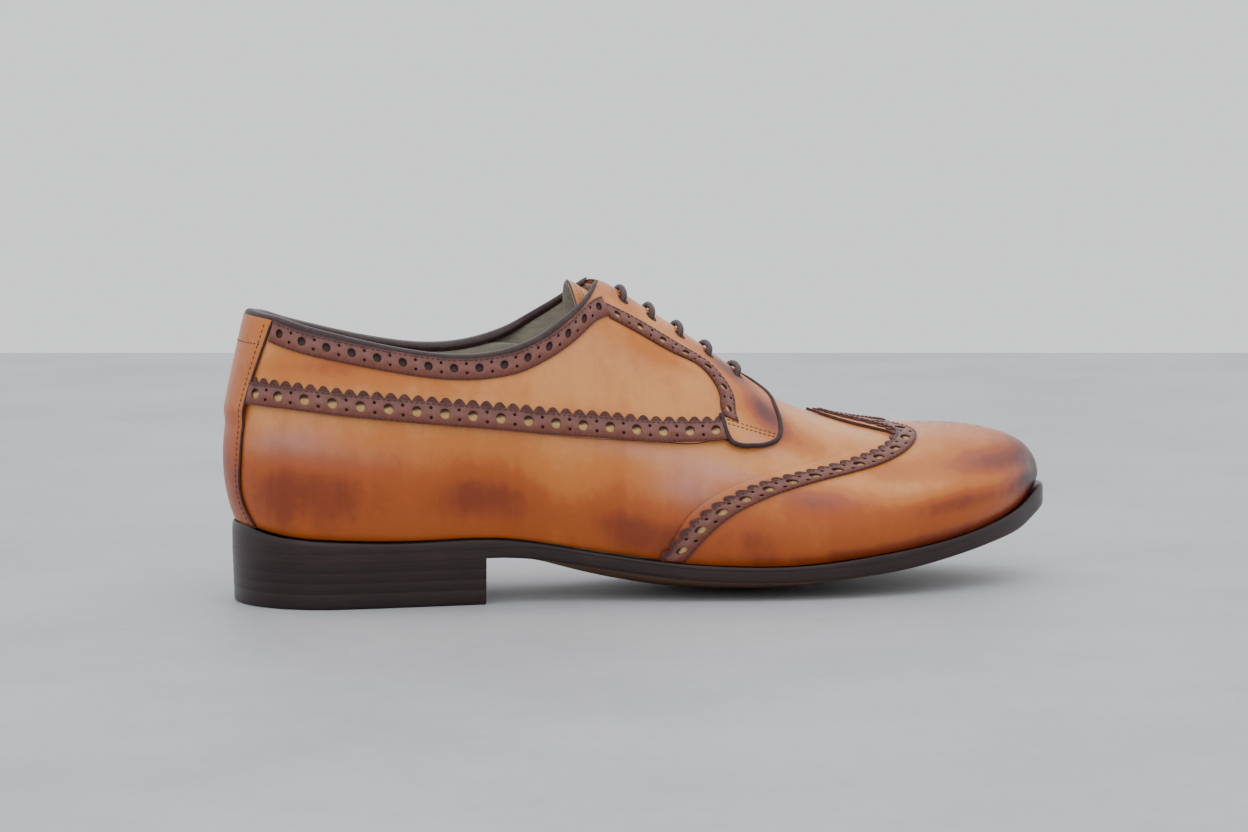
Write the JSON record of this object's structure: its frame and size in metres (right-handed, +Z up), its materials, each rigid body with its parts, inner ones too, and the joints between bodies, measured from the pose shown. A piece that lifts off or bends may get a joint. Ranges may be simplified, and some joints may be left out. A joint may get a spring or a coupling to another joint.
{
  "type": "brogue derby shoe",
  "caption": "right-foot leather wingtip brogue derby shoe with open lacing, punched and gimped trim strips, welted leather sole and stacked heel",
  "frame": {"origin": "centre of the footprint box at floor level", "axes": "+X toward the toe, +Z up, -Y the outer side of the foot"},
  "size_m": [0.3092, 0.0994, 0.1141],
  "materials": {
    "upper_tan": "burnished hand-coloured calf, semi-gloss",
    "upper_dark": "dark brown calf, semi-gloss",
    "lining": "matte lining leather",
    "sole_leather": "edge-inked and waxed sole leather",
    "top_piece": "matte rubber",
    "insole_board": "vegetable-tanned insole leather",
    "rib_canvas": "canvas rib",
    "cork": "granulated cork",
    "shank_steel": "spring steel",
    "nail_brass": "brass",
    "stiffener": "leatherboard",
    "lace": "round waxed cotton",
    "aglet_metal": "aged metal tip"
  },
  "bodies": {
    "shoe": {"aglet_lateral": "aglet_metal", "aglet_medial": "aglet_metal", "back_strip": "upper_tan", "brogue_strip_collar_lateral": "upper_dark", "brogue_strip_collar_medial": "upper_dark", "brogue_strip_facing_lateral": "upper_dark", "brogue_strip_facing_medial": "upper_dark", "brogue_strip_side_lateral": "upper_dark", "brogue_strip_side_medial": "upper_dark", "brogue_strip_wing": "upper_dark", "cork_filler": "cork", "facing_binding_lateral": "upper_dark", "facing_binding_medial": "upper_dark", "facing_stay_lateral": "lining", "facing_stay_medial": "lining", "heel_counter": "stiffener", "heel_grip": "lining", "heel_lift_1": "sole_leather", "heel_lift_2": "sole_leather", "heel_lift_3": "sole_leather", "heel_nails": "nail_brass", "heel_rand": "sole_leather", "heel_top_piece": "top_piece", "insole": "insole_board", "insole_rib": "rib_canvas", "lace": "lace", "outsole": "sole_leather", "quarter_lateral": "upper_tan", "quarter_lining_lateral": "lining", "quarter_lining_medial": "lining", "quarter_medial": "upper_tan", "shank": "shank_steel", "sock_lining": "lining", "toe_puff": "stiffener", "top_piece_nails": "nail_brass", "topline_binding": "upper_dark", "vamp": "upper_tan", "vamp_lining": "lining", "welt": "sole_leather", "wing_cap": "upper_tan"},
    "tongue": {"tongue": "upper_tan", "tongue_lining": "lining"}
  },
  "joints": [
    {"name": "tongue_hinge", "type": "hinge", "parent": "shoe", "child": "tongue", "pos_m": [0.0475, 0.0044, 0.0672], "axis": [0, -1, 0], "range_deg": [0, 10]}
  ]
}
